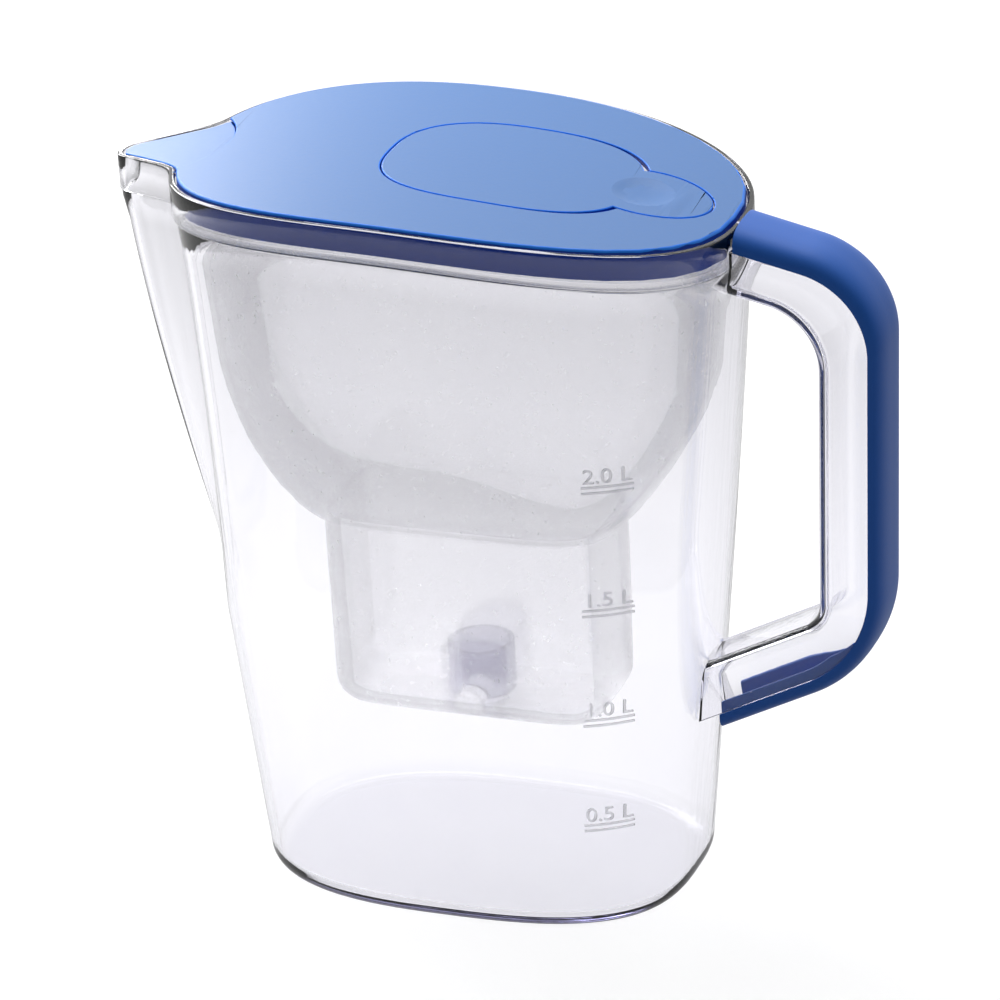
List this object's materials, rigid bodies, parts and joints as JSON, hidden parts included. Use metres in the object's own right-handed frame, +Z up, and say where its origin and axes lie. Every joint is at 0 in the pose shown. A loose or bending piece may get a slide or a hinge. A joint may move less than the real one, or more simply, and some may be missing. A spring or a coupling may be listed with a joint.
{
  "type": "water filter pitcher",
  "caption": "Clear jug with a pouring spout and a covered loop handle, a lift-out funnel for a filter cartridge, and a lid with a tipping fill flap and a spout flap.",
  "frame": {"origin": "middle of the jug's flat underside", "axes": "+X from the jug to its handle with the spout at -X, +Z up from the surface the jug stands on, and the object is symmetric about the XZ plane apart from its level marks"},
  "size_m": [0.2608, 0.127, 0.2509],
  "materials": {
    "clear_plastic": "clear, polished",
    "frosted_plastic": "frosted, lets light through",
    "lid_plastic": "satin",
    "grip": "soft-touch, matt"
  },
  "bodies": {
    "jug": {"jug_shell": "clear_plastic", "handle_frame": "clear_plastic", "handle_grip": "grip", "level_marks": "clear_plastic"},
    "funnel": {"funnel_bowl": "frosted_plastic", "guide_tube": "frosted_plastic"},
    "lid": {"lid_cover": "lid_plastic", "lid_ring": "lid_plastic"},
    "fill_flap": {"fill_flap": "lid_plastic"},
    "spout_flap": {"spout_flap": "lid_plastic"}
  },
  "joints": [
    {"name": "funnel_lift", "type": "slide", "parent": "jug", "child": "funnel", "axis": [0, 0, 1], "range_m": [0, 0.2]},
    {"name": "lid_lift", "type": "slide", "parent": "funnel", "child": "lid", "axis": [0, 0, 1], "range_m": [0, 0.06]},
    {"name": "fill_flap_hinge", "type": "hinge", "parent": "lid", "child": "fill_flap", "pos_m": [0.0628, 0, 0.24166], "axis": [0, 1, 0], "range_deg": [0, 60]},
    {"name": "spout_flap_hinge", "type": "hinge", "parent": "lid", "child": "spout_flap", "pos_m": [-0.084, 0, 0.24534], "axis": [0, 1, 0], "range_deg": [0, 60]}
  ]
}
